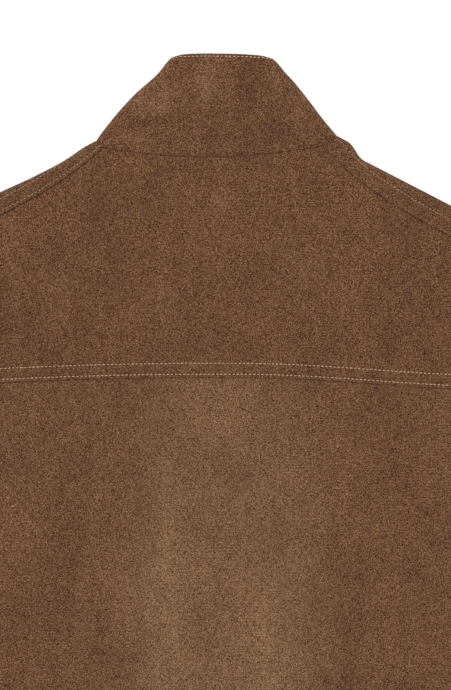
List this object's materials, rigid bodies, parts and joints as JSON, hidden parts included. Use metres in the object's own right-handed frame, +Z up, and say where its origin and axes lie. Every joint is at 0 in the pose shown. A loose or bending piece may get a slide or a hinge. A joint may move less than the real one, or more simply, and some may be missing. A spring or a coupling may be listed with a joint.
{
  "type": "suede jacket laid flat",
  "caption": "Suede jacket laid face down with its sleeves spread: buttoned fronts below, back with a yoke above, stand collar folded flat at both sides.",
  "frame": {"origin": "on the surface the jacket lies on, under the middle of its footprint", "axes": "+X to the wearer's right sleeve, +Y from the hem towards the collar, +Z up from the surface, out of the back"},
  "size_m": [1.366, 0.6906, 0.0115],
  "materials": {
    "suede": "matt brushed nap",
    "button_horn": "satin"
  },
  "bodies": {
    "root": {"back_lower": "suede", "back_yoke": "suede", "front_left": "suede", "front_right": "suede", "collar": "suede", "sleeve_left": "suede", "sleeve_right": "suede", "button_1": "button_horn", "button_2": "button_horn", "button_3": "button_horn", "button_4": "button_horn", "button_5": "button_horn", "button_6": "button_horn"}
  },
  "joints": []
}
